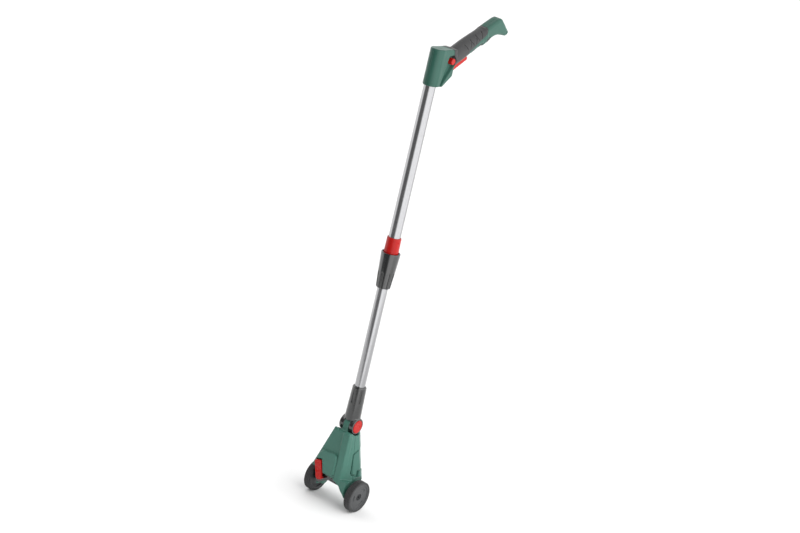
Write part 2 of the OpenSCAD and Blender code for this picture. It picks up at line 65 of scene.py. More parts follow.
# ---- Places taken from the frame ---------------------------------------------
tyre_low, tyre_high = node_box("wheel_tyre_left")
AXLE_Z = (tyre_low[2] + tyre_high[2]) / 2
WHEEL_R = (tyre_high[2] - tyre_low[2]) / 2
WHEEL_IN, WHEEL_OUT = tyre_low[0], tyre_high[0]
FLOOR_Z = tyre_low[2]
fork_low, fork_high = node_box("fork_sleeve")
HUB_IN = 7.3
HUB_OUT = fork_high[0]
HUB_R = 18
PIVOT_Z = fork_low[2] + HUB_R
TONGUE_HALF = 7
SLEEVE_TOP = fork_high[2]
button_low, button_high = node_box("tilt_button_left")
BUTTON_R = (button_high[2] - button_low[2]) / 2
nut_low, nut_high = node_box("clamp_nut")
collar_low, collar_high = node_box("clamp_collar")
HANDLE_Z = node_box("handle_shell_left")[0][2]
SHOE_TOP = PIVOT_Z - 13
TUBE_R = node_box("upper_tube")[1][0]
INNER_R = node_box("lower_tube")[1][0]


# ---- Camera --------------------------------------------------------------------
def make_camera():
    """Looks from 4.1 m away, a little above, rolled so that the pole leans."""
    azimuth, elevation, roll = math.radians(34.5), math.radians(17.2), math.radians(13.23)
    distance = 4.1
    aim = Vector((-0.0604, 0.131, 0.3996))
    back = Vector((math.cos(elevation) * math.sin(azimuth),
                   -math.cos(elevation) * math.cos(azimuth), math.sin(elevation)))
    flat_right = Vector((math.cos(azimuth), math.sin(azimuth), 0))
    flat_up = back.cross(flat_right)
    right = math.cos(roll) * flat_right + math.sin(roll) * flat_up
    up = back.cross(right)
    data = bpy.data.cameras.new("camera")
    data.lens = 87.2
    data.sensor_width = 36
    data.dof.use_dof = False
    data.clip_end = 100
    camera = bpy.data.objects.new("camera", data)
    turn = Matrix((right, up, back)).transposed()
    camera.matrix_world = Matrix.Translation(aim + distance * back) @ turn.to_4x4()
    bpy.context.collection.objects.link(camera)
    bpy.context.scene.camera = camera
    bpy.context.scene.view_settings.view_transform = "Standard"


make_camera()


# ---- Distance fields -------------------------------------------------------------
def space(low, high, step):
    """Sample coordinates (x, y, z) over a box, kept thin so that they broadcast."""
    axes = [np.arange(a - 3 * step, b + 3.5 * step, step, dtype=np.float32)
            for a, b in zip(low, high)]
    return np.meshgrid(*axes, indexing="ij", sparse=True)


def turned(p, origin, about, degrees):
    """Coordinates in a frame at origin, turned by degrees about X (0) or Y (1)."""
    x, y, z = (c - o for c, o in zip(p, origin))
    c, s = math.cos(math.radians(degrees)), math.sin(math.radians(degrees))
    if about == 0:
        return x, c * y + s * z, c * z - s * y
    return c * x - s * z, y, c * z + s * x


def spoke(p, degrees):
    """Distances across and along a direction that stands out from the Z axis."""
    a = math.radians(degrees)
    across = -p[0] * math.sin(a) + p[1] * math.cos(a)
    return across, p[0] * math.cos(a) + p[1] * math.sin(a)


def join(a, b, r=0.0):
    """Union with a fillet of radius r."""
    if r <= 0:
        return np.minimum(a, b)
    u, v = np.maximum(r - a, 0), np.maximum(r - b, 0)
    return np.maximum(np.minimum(a, b), r) - np.sqrt(u * u + v * v)


def meet(a, b, r=0.0):
    """Intersection with an edge rounded to radius r."""
    if r <= 0:
        return np.maximum(a, b)
    u, v = np.maximum(a + r, 0), np.maximum(b + r, 0)
    return np.minimum(np.maximum(a, b), -r) + np.sqrt(u * u + v * v)


def cut(a, b, r=0.0):
    """a without b, its new edges rounded to radius r."""
    return meet(a, -b, r)


def capped(side, along, low, high, edge):
    """A wall field closed between two levels, with rounded rims."""
    ends = np.abs(along - (low + high) / 2) - (high - low) / 2
    return meet(side, ends, edge)


def box_of(p, low, high, edge=0.0):
    """A box with rounded edges."""
    q = [np.abs(c - (a + b) / 2) - (b - a) / 2 + edge for c, a, b in zip(p, low, high)]
    outside = np.sqrt(sum(np.maximum(c, 0) ** 2 for c in q))
    inside = np.minimum(np.maximum(np.maximum(q[0], q[1]), q[2]), 0)
    return outside + inside - edge


def rod_of(p, axis, centre, radius, low, high, edge=0.0):
    """A cylinder along axis 0, 1 or 2 through centre, given on the other two axes."""
    u, v = [c for i, c in enumerate(p) if i != axis]
    wall = np.sqrt((u - centre[0]) ** 2 + (v - centre[1]) ** 2) - radius
    return capped(wall, p[axis], low, high, edge)


def outline_of(u, v, points):
    """Signed distance to a closed outline in the plane (u, v)."""
    nearest = np.float32(1e9)
    inside = np.zeros(np.broadcast(u, v).shape, dtype=bool)
    for (au, av), (bu, bv) in zip(points, points[1:] + points[:1]):
        eu, ev = bu - au, bv - av
        wu, wv = u - au, v - av
        t = np.clip((wu * eu + wv * ev) / (eu * eu + ev * ev), 0, 1)
        nearest = np.minimum(nearest, (wu - t * eu) ** 2 + (wv - t * ev) ** 2)
        crosses = (av <= v) != (bv <= v)
        inside ^= crosses & (wu < (wv * eu / ev if ev else 0))
    return np.where(inside, -1, 1) * np.sqrt(nearest)


def plate_of(p, axis, points, low, high, edge=0.0, round_corner=0.0):
    """An outline on the other two axes, extruded along axis between two levels."""
    u, v = [c for i, c in enumerate(p) if i != axis]
    wall = outline_of(u, v, points) - round_corner
    return capped(wall, p[axis], low, high, edge)


def lathe_of(p, axis, centre, profile):
    """A turned shape: a closed outline of (radius, level) about an axis."""
    u, v = [c for i, c in enumerate(p) if i != axis]
    radius = np.sqrt((u - centre[0]) ** 2 + (v - centre[1]) ** 2)
    return outline_of(radius, p[axis], profile)


# ---- Meshes ------------------------------------------------------------------------
def field_mesh(name, p, field, adapt=0.0):
    """The zero surface of a field as a smooth-shaded mesh object."""
    step = float(p[0].ravel()[1] - p[0].ravel()[0])
    band = 4 * step
    full = np.ascontiguousarray(np.broadcast_to(field, np.broadcast(*p).shape), dtype=np.float32)
    grid = vdb.FloatGrid(band)
    grid.copyFromArray(np.clip(full, -band, band))
    points, tris, quads = grid.convertToPolygons(isovalue=0.0, adaptivity=adapt)
    low = np.array([c.ravel()[0] for c in p])
    points = (points * step + low) * MM
    faces = [tuple(int(i) for i in f[::-1]) for f in quads] + \
            [tuple(int(i) for i in f[::-1]) for f in tris]
    mesh = bpy.data.meshes.new(name)
    mesh.from_pydata([tuple(c) for c in points], [], faces)
    mesh.validate()
    mesh.shade_smooth()
    obj = bpy.data.objects.new(name, mesh)
    bpy.context.collection.objects.link(obj)
    return obj


def piece(obj, body, slot, material, *nodes):
    """Gives a new piece its body and material, and hides the CAD nodes it stands for."""
    obj.data.materials.clear()
    obj.data.materials.append(material)
    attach(obj, body)
    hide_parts(*nodes)
    return obj


# ---- Materials -----------------------------------------------------------------------
class Nodes:
    """Small helper that wires a material's node tree."""

    def __init__(self, name):
        self.material = bpy.data.materials.new(name)
        self.material.use_nodes = True
        self.tree = self.material.node_tree
        self.surface = self.tree.nodes["Principled BSDF"]
        coordinates = self.tree.nodes.new("ShaderNodeTexCoord")
        self.place = coordinates.outputs["Object"]

    def feed(self, node, inputs):
        """Links a socket to each input of a node, or sets its value."""
        for key, value in inputs.items():
            socket = node.inputs[key.replace("_", " ")]
            if isinstance(value, bpy.types.NodeSocket):
                self.tree.links.new(value, socket)
            else:
                socket.default_value = value

    def add(self, kind, **inputs):
        node = self.tree.nodes.new(kind)
        self.feed(node, inputs)
        return node

    def stretched(self, scale):
        mapping = self.add("ShaderNodeMapping", Vector=self.place)
        mapping.inputs["Scale"].default_value = scale
        return mapping.outputs["Vector"]

    def noise(self, scale, detail=3.0, vector=None):
        node = self.add("ShaderNodeTexNoise", Vector=vector or self.place,
                        Scale=scale, Detail=detail)
        return node.outputs["Fac"]

    def ramp(self, factor, low, high, left, right):
        node = self.add("ShaderNodeMapRange", Value=factor, From_Min=low, From_Max=high,
                        To_Min=left, To_Max=right)
        return node.outputs["Result"]

    def mix(self, factor, a, b):
        node = self.tree.nodes.new("ShaderNodeMix")
        node.data_type = "RGBA"
        self.tree.links.new(factor, node.inputs["Factor"])
        for key, value in (("A", a), ("B", b)):
            if isinstance(value, bpy.types.NodeSocket):
                self.tree.links.new(value, node.inputs[key])
            else:
                node.inputs[key].default_value = (*value, 1)
        return node.outputs["Result"]

    def worn(self, amount):
        """Where a convex edge has been rubbed, broken up along its length."""
        edge = self.tree.nodes.new("ShaderNodeNewGeometry").outputs["Pointiness"]
        broken = self.ramp(self.noise(140, 5), 0.42, 0.62, 0, amount)
        both = self.tree.nodes.new("ShaderNodeMath")
        both.operation = "MULTIPLY"
        self.tree.links.new(self.ramp(edge, 0.52, 0.60, 0, 1), both.inputs[0])
        self.tree.links.new(broken, both.inputs[1])
        return both.outputs["Value"]

    def bump(self, height, distance, strength=1.0, normal=None):
        node = self.add("ShaderNodeBump", Height=height, Distance=distance, Strength=strength)
        if normal is not None:
            self.tree.links.new(normal, node.inputs["Normal"])
        return node.outputs["Normal"]

    def finish(self, **inputs):
        self.feed(self.surface, inputs)
        return self.material


def plastic(name, dark, light, rough, grain, grain_depth, coat=0.0, gloss=0.5, flow=0.15):
    """Moulded plastic: spark-eroded grain, faint flow marks and rubbed, glossier patches."""
    n = Nodes(name)
    cloud = n.noise(14, 4)
    rub = n.noise(38, 5)
    body = n.mix(n.ramp(cloud, 0.35, 0.65, 0, 1), dark, light)
    chafed = tuple(0.75 * c + 0.07 for c in light)
    colour = n.mix(n.worn(0.55), body, chafed)
    shine = n.ramp(rub, 0.35, 0.7, rough - 0.06, rough + 0.07)
    fine = n.bump(n.noise(grain, 2), grain_depth * MM)
    waves = n.bump(n.noise(55, 1), flow * MM, 0.5, fine)
    return n.finish(Base_Color=colour, Roughness=shine, Normal=waves, Coat_Weight=coat,
                    Coat_Roughness=0.2, Specular_IOR_Level=gloss)


def rubber(name, dark, light, rough):
    """Soft overmould: a matt, slightly dusty skin with a fine leathery grain."""
    n = Nodes(name)
    cell = n.add("ShaderNodeTexVoronoi", Vector=n.place, Scale=900.0).outputs["Distance"]
    dust = n.noise(60, 6)
    body = n.mix(n.ramp(dust, 0.4, 0.7, 0, 1), dark, light)
    colour = n.mix(n.worn(0.6), body, tuple(c + 0.04 for c in light))
    skin = n.bump(cell, 0.12 * MM, 0.8)
    return n.finish(Base_Color=colour, Roughness=n.ramp(dust, 0.3, 0.7, rough - 0.05, rough + 0.1),
                    Normal=skin, Sheen_Weight=0.15)


def metal(name, tint, rough, along, scratch_depth):
    """Drawn or turned metal: hairlines along one direction, over an uneven satin."""
    n = Nodes(name)
    lines = n.noise(1.0, 3, n.stretched(along))
    patch = n.noise(9, 4)
    dim = tuple(c * 0.86 for c in tint)
    drawn = n.mix(n.ramp(lines, 0.3, 0.7, 0, 1), dim, tint)
    colour = n.mix(n.worn(0.1), drawn, tuple(min(1.0, c * 1.2) for c in tint))
    shine = n.ramp(patch, 0.35, 0.65, rough - 0.04, rough + 0.05)
    return n.finish(Base_Color=colour, Metallic=1.0, Roughness=shine,
                    Normal=n.bump(lines, scratch_depth * MM, 0.6))


GREEN = plastic("green_housing", (0.049, 0.146, 0.113), (0.058, 0.164, 0.128), 0.34, 2200, 0.05,
                0.0, 0.27)
# The handle uses the shoe's green plastic painted darker: painted shade for the weaker light on the
# head and pommel.
HANDLE_GREEN_PAINTED_SHADE = plastic("green_handle_painted_shade", (0.024, 0.088, 0.065), (0.030, 0.102, 0.077), 0.34, 2200,
                       0.05, 0.0, 0.3)
BLACK = plastic("black_housing", (0.005, 0.006, 0.006), (0.008, 0.009, 0.009), 0.15, 1800, 0.012,
                0.45, 0.85, 0.03)
WHEEL = plastic("wheel_grey", (0.040, 0.042, 0.044), (0.052, 0.054, 0.056), 0.40, 1700, 0.07,
                0.0, 0.4)
RED = plastic("red_control", (0.40, 0.006, 0.004), (0.45, 0.010, 0.007), 0.30, 2600, 0.03, 0.0,
              0.25)
GRIP = rubber("grip_rubber", (0.017, 0.017, 0.018), (0.027, 0.027, 0.028), 0.56)
TREAD = rubber("tread_rubber", (0.010, 0.010, 0.011), (0.020, 0.020, 0.021), 0.62)
LEAD = rubber("lead_sheath", (0.010, 0.010, 0.010), (0.018, 0.018, 0.018), 0.55)
ALLOY = metal("tube_alloy", (0.41, 0.41, 0.42), 0.21, (2500, 2500, 6), 0.02)
STEEL = metal("zinc_steel", (0.62, 0.62, 0.64), 0.32, (900, 900, 900), 0.02)
# Steel darkened to paint the shade in the wheels' hub recess, used on the axle ends.
PAINTED_SHADE_STEEL = metal("painted_shade_steel", (0.040, 0.042, 0.045), 0.34, (900, 900, 900), 0.02)
BRASS = metal("contact_brass", (0.78, 0.56, 0.24), 0.28, (900, 900, 900), 0.01)

BY_SLOT = {"green_plastic": GREEN, "black_plastic": BLACK, "grip_rubber": GRIP,
           "red_plastic": RED, "wheel_plastic": WHEEL, "tyre_rubber": TREAD,
           "tube_alloy": ALLOY, "steel": STEEL, "contact_brass": BRASS, "lead_sheath": LEAD}


def dress_frame():
    """Every CAD node that stays gets the material of its slot; the axles instead get a darkened steel
    that paints the shade in the wheels' hub recess.
    """
    slots = {s["node"]: s["material_slot"] for s in frame["record"]["subparts"]}
    for name, obj in frame["nodes"].items():
        obj.data.materials.clear()
        obj.data.materials.append(PAINTED_SHADE_STEEL if "axle_" in name else BY_SLOT[slots[name]])


# ---- Shoe ------------------------------------------------------------------------------
FRONT_Y = -28
BACK_Y = 26
SIDE_Y = 8
SPLIT_Y = -6
LEG_OUT = WHEEL_IN - 1.5
SHOULDER_H = 131      # height of the shoulders above the axles
WELL_R = 41           # radius of the room round a wheel


def shoe_half(h):
    """Half width of the shoe at height h above the axles."""
    return 20 + 0.327 * (SHOULDER_H - h)


def side_face(p, side):
    """Distance outside a side face. The one on +X turns towards the front in a facet."""
    x, y, z = p
    h = z - AXLE_Z
    back_taper = 11.5 * np.clip((y - SIDE_Y) / (BACK_Y - SIDE_Y), 0, 1)
    if side < 0:
        return (-x - 20 - 0.36 * (SHOULDER_H - h) + back_taper) / 1.1
    half = shoe_half(h)
    facet = 22 + (half - 22) * np.clip((y - FRONT_Y) / (SIDE_Y - FRONT_Y), 0, 1)
    return (x - facet + back_taper) / 1.25


def shoe_skin(p):
    """Outer form of the shoe without its openings. h is the height above the axles."""
    x, y, z = p
    h = z - AXLE_Z
    walls = meet(meet(side_face(p, -1), FRONT_Y - y, 1.6), side_face(p, 1), 1)
    walls = meet(walls, y - BACK_Y, 5)
    body = meet(meet(walls, h - SHOULDER_H, 2), 22 - h, 1)
    # proud rib between the front face and the side face on +X
    rib = plate_of(p, 2, [(9.5, -20), (10.2, -31.8), (11.6, -32), (22.8, -28.2), (24, -20)],
                   AXLE_Z + 16, SHOE_TOP + 1.5, 1.2)
    body = join(body, rib, 6)
    for side in (-1, 1):
        # finger recess in the side face, open to the back
        outline = plate_of(p, 0, [(5.5, AXLE_Z + 96), (-7.8, AXLE_Z + 86), (-10.6, AXLE_Z + 45),
                                  (-8, AXLE_Z + 40), (3, AXLE_Z + 39), (5, AXLE_Z + 51),
                                  (60, AXLE_Z + 51), (60, AXLE_Z + 96)], -99, 99)
        face = side_face(p, side)
        body = cut(body, meet(outline, -1.2 - face, 0.5), 0.5)
        body = cut(body, meet(meet(outline, -2.8 - outline, 0.3), -4.8 - face), 0.4)
        # leg, hollowed towards the wheel, with the boss for the axle
        leg = plate_of((side * x, y, z), 1,
                       [(20, AXLE_Z + 30), (20, AXLE_Z + 18), (35, AXLE_Z - 1), (38, AXLE_Z - 9),
                        (LEG_OUT, AXLE_Z - 9), (LEG_OUT, AXLE_Z + 30)], FRONT_Y, BACK_Y - 6, 2)
        leg = meet(leg, (-y - 22 - 0.45 * (h + 9)) / 1.1, 3)
        leg = meet(leg, (y - 14 - 0.3 * (h + 9)) / 1.05, 3)
        body = join(body, leg, 2)
        reach = np.sqrt(y * y + h * h) - WELL_R + 0.9 * np.maximum(LEG_OUT - side * x, 0)
        body = cut(body, meet(reach / 1.35, LEG_OUT - 7 - side * x, 2), 1)
        boss = rod_of((side * x, y, z), 0, (0, AXLE_Z), 12, 30, LEG_OUT, 1)
        body = join(body, boss, 3)
    return body


def bump_of(p):
    """Raised housing over the latch."""
    z = AXLE_Z
    points = [(-38.5, z + 53), (-33.5, z + 66), (-29.5, z + 70.5), (0, z + 74.5), (2, z + 73),
              (3, z + 69), (3, z + 36), (1.5, z + 34.5), (-34, z + 29.5)]
    return plate_of(p, 1, points, FRONT_Y - 6.9, FRONT_Y + 4, 3.2, 5)


LATCH_AT = (-35.5, FRONT_Y - 1, AXLE_Z + 43)
LATCH_LEAN = -17


def in_latch(p):
    """Coordinates about the latch's pin."""
    return turned(p, LATCH_AT, 1, LATCH_LEAN)


def tongue_of(p):
    """Tongue between the hubs, running down into the shoe."""
    barrel = rod_of(p, 0, (0, PIVOT_Z), HUB_R - 0.2, -TONGUE_HALF, TONGUE_HALF, 0.8)
    stem = box_of(p, (-TONGUE_HALF, 0.2 - HUB_R, 24), (TONGUE_HALF, HUB_R - 0.2, PIVOT_Z), 0.8)
    return join(barrel, stem)


def shoe_field(p):
    """Both halves of the shoe as one body, hollow above the dock and open below it."""
    x, y, z = p
    skin = shoe_skin(p)
    body = join(skin, bump_of(p), 2)
    # shoulder lip at the top, on the latch's side
    lip = box_of(p, (-19.5, FRONT_Y + 0.2, SHOE_TOP - 6), (-9.5, FRONT_Y + 5, SHOE_TOP + 3.6), 1.6)
    body = join(body, lip, 2)
    # neck that flares into the shoulders
    neck = box_of(p, (-TONGUE_HALF, 0.2 - HUB_R, SHOE_TOP - 20),
                  (TONGUE_HALF, HUB_R - 0.2, SHOE_TOP + 4), 0.8)
    body = join(body, neck, 5)
    for side in (-1, 1):
        saddle = rod_of((side * x, y, z), 0, (0, PIVOT_Z), HUB_R + 1.2, TONGUE_HALF, HUB_OUT + 3.5,
                        0.5)
        body = cut(body, saddle, 0.8)
        well = rod_of((side * x, y, z), 0, (0, AXLE_Z), WELL_R, LEG_OUT, 99)
        body = cut(body, well, 1.2)
    # hollow above the dock's roof
    inner = meet(meet(skin + 3, 12 - z, 2), z - (SHOE_TOP - 4), 2)
    body = cut(body, inner)
    # room for the dock liner, and the arch below it
    body = cut(body, box_of(p, (-23, -22, AXLE_Z - 30), (23, 15, 4)))
    body = cut(body, box_of(p, (-46, -99, AXLE_Z - 20), (-16, -20, AXLE_Z + 26)), 0.8)
    arch = plate_of(p, 1, [(-33, AXLE_Z - 30), (-33, AXLE_Z + 2), (-20, AXLE_Z + 22),
                           (3, AXLE_Z + 24), (15, AXLE_Z + 21), (34, AXLE_Z - 1),
                           (34, AXLE_Z - 30)], -99, 99)
    body = cut(body, arch, 1.5)
    body = cut(body, box_of(in_latch(p), (-9.3, -14, -42), (11.5, 7, 11.5), 2), 0.6)
    return cut(body, rod_of(p, 0, (0, AXLE_Z), 4, -LEG_OUT - 9, LEG_OUT + 9))


def tongue_holes(p):
    """Pockets for the lock gears on both sides of a web, the axle's bore and the lead's slot."""
    web = np.abs(p[0]) - 1.6
    gears = meet(rod_of(p, 0, (0, PIVOT_Z), 9.6, -9, 9), -web)
    slot = box_of(p, (-2.5, 10.5, 0), (2.5, 15.5, PIVOT_Z + 30))
    return join(join(gears, slot), rod_of(p, 0, (0, PIVOT_Z), 4, -9, 9))


def make_shoe():
    """Front half with the tongue, and rear half, split across Y."""
    step = 0.7
    p = space((-62, -37, AXLE_Z - 13), (56, 27, PIVOT_Z + 19), step)
    y = p[1]
    body = shoe_field(p)
    tongue = tongue_of(p)
    holes = tongue_holes(p)
    front = join(meet(cut(body, tongue - 0.1), y - SPLIT_Y + 0.1, 0.5), tongue)
    front = cut(front, holes)
    rear = cut(meet(body, SPLIT_Y + 0.1 - y, 0.5), tongue - 0.2)
    piece(field_mesh("shoe_front", p, front), "shoe", "green_plastic", GREEN, "shoe_front_shell")
    piece(field_mesh("shoe_rear", p, rear), "shoe", "green_plastic", GREEN, "shoe_rear_shell")


def make_cradle():
    """Black liner of the dock, with guide ribs and a rolled lower rim."""
    p = space((-44, -24, AXLE_Z - 3), (24, 16, 5), 0.6)
    block = box_of(p, (-23, -22, AXLE_Z + 12), (23, 15, 4), 0.6)
    block = cut(block, box_of(p, (-21, -20, AXLE_Z - 20), (21, 13, 0), 1.0), 0.4)
    block = cut(block, box_of(p, (-24, -23, AXLE_Z + 11), (-13, -19, AXLE_Z + 18)), 0.4)
    for x in (-11, -3, 5, 13):
        block = cut(block, box_of(p, (x, -24, AXLE_Z + 14), (x + 6, -21, AXLE_Z + 22), 0.6), 0.3)
    block = cut(block, box_of(p, (-9, 5, -1), (9, 11, 16)))
    z = AXLE_Z
    apron = plate_of(p, 1, [(2, z + 25), (-5, z + 15), (-19, z + 7), (-32, z - 2), (-43, z - 2),
                            (-43, z + 25)], -23, -20.2, 0.8)
    block = join(block, apron)
    piece(field_mesh("dock_liner", p, block), "shoe", "black_plastic", BLACK, "dock_cradle")


def make_latch():
    """Red latch lever: a rounded tab with a scooped thumb pad and the hook behind its foot."""
    low, high = node_box("latch_lever")
    p = space(low, high, 0.4)
    q = in_latch(p)
    profile = [(-6.5, 4.5), (-5, 7.5), (-2, 8.5), (2, 6.5), (2, -4), (-0.5, -10), (-0.5, -30),
               (9, -31.5), (9, -34), (-5, -35), (-7, -29), (-5.5, -14)]
    lever = plate_of(q, 0, profile, -9, 9, 1.0)
    front = outline_of(q[0], q[2], [(-4.5, 4), (4.5, 4), (4.5, -12), (2.5, -31), (-2.5, -31),
                                    (-4.5, -12)]) - 4.5
    lever = meet(lever, front, 1.2)
    lever = cut(lever, box_of((np.abs(q[0]), q[1], q[2]), (4, 0.5, -40), (20, 20, -25)))
    scoop = rod_of(q, 0, (-17, -12), 12.6, -6.5, 6.5, 1.5)
    lever = cut(lever, scoop, 0.8)
    lever = cut(lever, rod_of(q, 0, (0, 0), 1.55, -20, 20))
    piece(field_mesh("latch_tab", p, lever), "latch", "red_plastic", RED, "latch_lever")


# ---- Wheels ------------------------------------------------------------------------------
DISC_R = 29.6


def make_wheel(side, name):
    """Grey disc with a lip, a dished face and shallow pockets, in a ribbed tread."""
    w = WHEEL_OUT - WHEEL_IN
    p = space(*node_box("wheel_tyre_" + name), 0.5)
    x, y, z = p
    q = (side * x - WHEEL_IN, y, z - AXLE_Z)
    radius = np.sqrt(q[1] ** 2 + q[2] ** 2)
    disc = rod_of(q, 0, (0, 0), DISC_R, 0, w, 0.8)
    dish = rod_of(q, 0, (0, 0), 26.4, w - 1.8 + 0.012 * radius, w + 9)
    disc = cut(disc, dish, 0.5)
    disc = cut(disc, rod_of(q, 0, (0, 0), 7.5, w - 5, w + 9, 0.5), 0.8)
    ring = meet(np.abs(radius - 18) - 2.6, w - 2.8 - q[0])
    angle = np.degrees(np.arctan2(q[2], q[1]))
    for middle in (-60, 60, 180):
        away = np.abs((angle - middle + 180) % 360 - 180)
        pocket = meet(ring, (away - 24) * radius * math.radians(1), 1.5)
        disc = cut(disc, pocket, 0.5)
    back = meet(np.abs(radius - 17.5) - 8.5, q[0] - 5, 1)
    disc = cut(disc, back, 0.6)
    disc = cut(disc, rod_of(q, 0, (0, 0), 4.05, -9, 99))
    piece(field_mesh("wheel_disc_" + name, p, disc), "wheel_" + name, "wheel_plastic", WHEEL,
          "wheel_hub_" + name)
    tread = rod_of(q, 0, (0, 0), WHEEL_R, 0.1, w - 0.1, 1.6)
    tread = cut(tread, rod_of(q, 0, (0, 0), DISC_R + 0.1, -9, 99))
    for level in (3.6, 7.5, 11.4):    # three grooves round the tread
        groove = meet(np.abs(q[0] - level) - 0.6, WHEEL_R - 0.9 - radius)
        tread = cut(tread, groove, 0.3)
    notch = np.abs((angle % 10) - 5) * radius * math.radians(1) - 0.5
    notch = meet(notch, WHEEL_R - 0.7 - radius)
    tread = cut(tread, notch, 0.2)
    piece(field_mesh("wheel_tread_" + name, p, tread), "wheel_" + name, "tyre_rubber", TREAD,
          "wheel_tyre_" + name)


# ---- Fork, buttons and clamp ------------------------------------------------------------
def make_fork():
    """Black sleeve with two round hubs, hollowed for the tongue, buttons and tube."""
    p = space(fork_low, fork_high, 0.5)
    x, y, z = p
    base = PIVOT_Z + 11
    top = SLEEVE_TOP
    body = lathe_of(p, 2, (0, 0), [(0, base - 12), (17, base - 12), (17.2, base), (14.9, top - 2),
                                   (13.8, top - 0.6), (13.4, top), (0, top)])
    for side in (-1, 1):
        hub = rod_of((side * x, y, z), 0, (0, PIVOT_Z), HUB_R, HUB_IN, HUB_OUT, 2.2)
        body = join(body, hub, 1.5)
    body = cut(body, box_of(p, (-HUB_IN, -40, PIVOT_Z - 30), (HUB_IN, 40, PIVOT_Z)), 0.5)
    body = cut(body, rod_of(p, 0, (0, PIVOT_Z), HUB_R + 2.2, -HUB_IN, HUB_IN), 0.5)
    body = cut(body, rod_of(p, 2, (0, 0), 7, PIVOT_Z, top))
    body = cut(body, rod_of(p, 2, (0, 0), INNER_R + 0.02, base + 15, top + 9), 0.6)
    for side in (-1, 1):
        q = (side * x, y, z)
        body = cut(body, rod_of(q, 0, (0, PIVOT_Z), BUTTON_R + 0.3, 10, 99), 0.8)
        body = cut(body, rod_of(q, 0, (0, PIVOT_Z), 9.05, 5, 12))
    # long narrow panels let into the upper half
    for turn in range(6):
        across, out = spoke(p, 30 + 60 * turn)
        slot = meet(np.abs(across) - 1.5, np.abs(z - (top - 20)) - 15, 1.4)
        body = cut(body, meet(slot, 14.0 - out), 0.4)
    piece(field_mesh("fork", p, body), "lower_pole", "black_plastic", BLACK, "fork_sleeve")


def make_tilt_button(side, name):
    """Red push button with a rounded rim and a fine ring let into its face."""
    low, high = node_box("tilt_button_" + name)
    p = space(low, high, 0.35)
    q = (side * p[0], p[1], p[2])
    inner, outer = min(abs(low[0]), abs(high[0])), max(abs(low[0]), abs(high[0]))
    disc = rod_of(q, 0, (0, PIVOT_Z), BUTTON_R, inner, outer, 0.9)
    radius = np.sqrt(q[1] ** 2 + (q[2] - PIVOT_Z) ** 2)
    disc = cut(disc, meet(np.abs(radius - BUTTON_R + 1.8) - 0.35, outer - 0.35 - q[0]), 0.2)
    disc = cut(disc, rod_of(q, 0, (0, PIVOT_Z), 4.3, inner - 1, HUB_OUT - 1.5))
    piece(field_mesh("tilt_button_cap_" + name, p, disc), "tilt_lock_" + name, "red_plastic", RED,
          "tilt_button_" + name)


def make_clamp():
    """Conical nut with arched flutes round its lower half, and the red collar in its mouth."""
    p = space(nut_low, nut_high, 0.45)
    z = p[2]
    low, top = nut_low[2], nut_high[2]
    nut = lathe_of(p, 2, (0, 0), [(11.8, low), (14.3, low), (15, low + 0.9), (17.8, low + 37),
                                  (20.2, top - 1.2), (19.8, top - 0.3), (19.2, top), (17.6, top),
                                  (15.8, top - 8), (14.3, top - 12), (14.3, low + 20),
                                  (12.7, low + 7), (11.8, low + 6)])
    for turn in range(8):
        across, out = spoke(p, 45 * turn + 9)
        arch = np.sqrt(across ** 2 + np.maximum(z - (low + 33), 0) ** 2) - 2.9
        floor = 13.3 + 0.076 * (z - low) - out
        nut = cut(nut, meet(arch, floor, 0.6), 0.4)
    piece(field_mesh("clamp_grip", p, nut), "clamp", "black_plastic", BLACK, "clamp_nut")
    p = space(collar_low, collar_high, 0.5)
    top = collar_high[2]
    mouth = nut_high[2]
    collar = lathe_of(p, 2, (0, 0), [(TUBE_R, collar_low[2]), (14, collar_low[2]),
                                     (14, mouth - 9), (15.4, mouth - 7), (15.4, mouth + 1),
                                     (14.9, top - 1.9), (14.3, top - 0.5), (13.5, top),
                                     (TUBE_R, top)])
    piece(field_mesh("clamp_ring", p, collar), "upper_pole", "red_plastic", RED, "clamp_collar")


# ---- Handle ------------------------------------------------------------------------------
GRIP_RISE = 28.5
GRIP_ROOT = (0, 30, 45.3)
PAD = [(33, 92), (33.5, 76), (39.5, 59), (47, 40), (87.5, 66.8), (88.5, 72), (95, 75.5),
       (118.8, 93.2), (128, 99.2), (134, 104), (138, 109.5), (139.8, 115.5), (139.3, 121),
       (137, 127), (133, 134), (90, 134)]
POMMEL = [(126, 107), (138, 117.5), (150, 124), (172, 134.6), (179, 136.8), (184, 136),
          (189, 132.2), (214, 111.2), (216, 108), (213.5, 104), (208, 101.3), (195, 103),
          (181, 103.8), (170, 102), (160, 98), (150, 91), (135, 82)]


def in_grip(p):
    """Coordinates (x, down, along) of the grip, from ones that start at the head's foot."""
    return turned(p, GRIP_ROOT, 0, GRIP_RISE - 90)


def lifted(obj):
    """A piece drawn from the head's foot, moved to its place up the pole."""
    obj.data.transform(Matrix.Translation((0, 0, HANDLE_Z * MM)))
    return obj


def grip_core(p):
    """Grip and neck: a rounded bar that narrows towards the pommel."""
    x, down, along = in_grip(p)
    t = np.clip((along - 60) / 60, 0, 1)
    half_w = 15.4 - 1.0 * t
    half_d = 18 - 1.9 * t
    centre = 2.4 * t * t
    flat = half_d - half_w
    v = np.maximum(np.abs(down - centre) - flat, 0)
    bar = np.sqrt(x * x + v * v) - half_w
    return capped(bar, along, 0, 126, 2)


def head_of(p):
    """Head: round in front over the tube, flat-sided behind, its foot cut away in a slope."""
    x, y, z = p
    plan = join(np.sqrt(x * x + y * y) - 15.6,
                box_of((x, y, 0 * z), (-16, -1, -9), (16, 46, 9), 2.0), 3)
    side = outline_of(y, z, [(-17, 0), (-17, 76), (46, 76), (46, 22), (20, 0)])
    return meet(plan, side, 2.4)


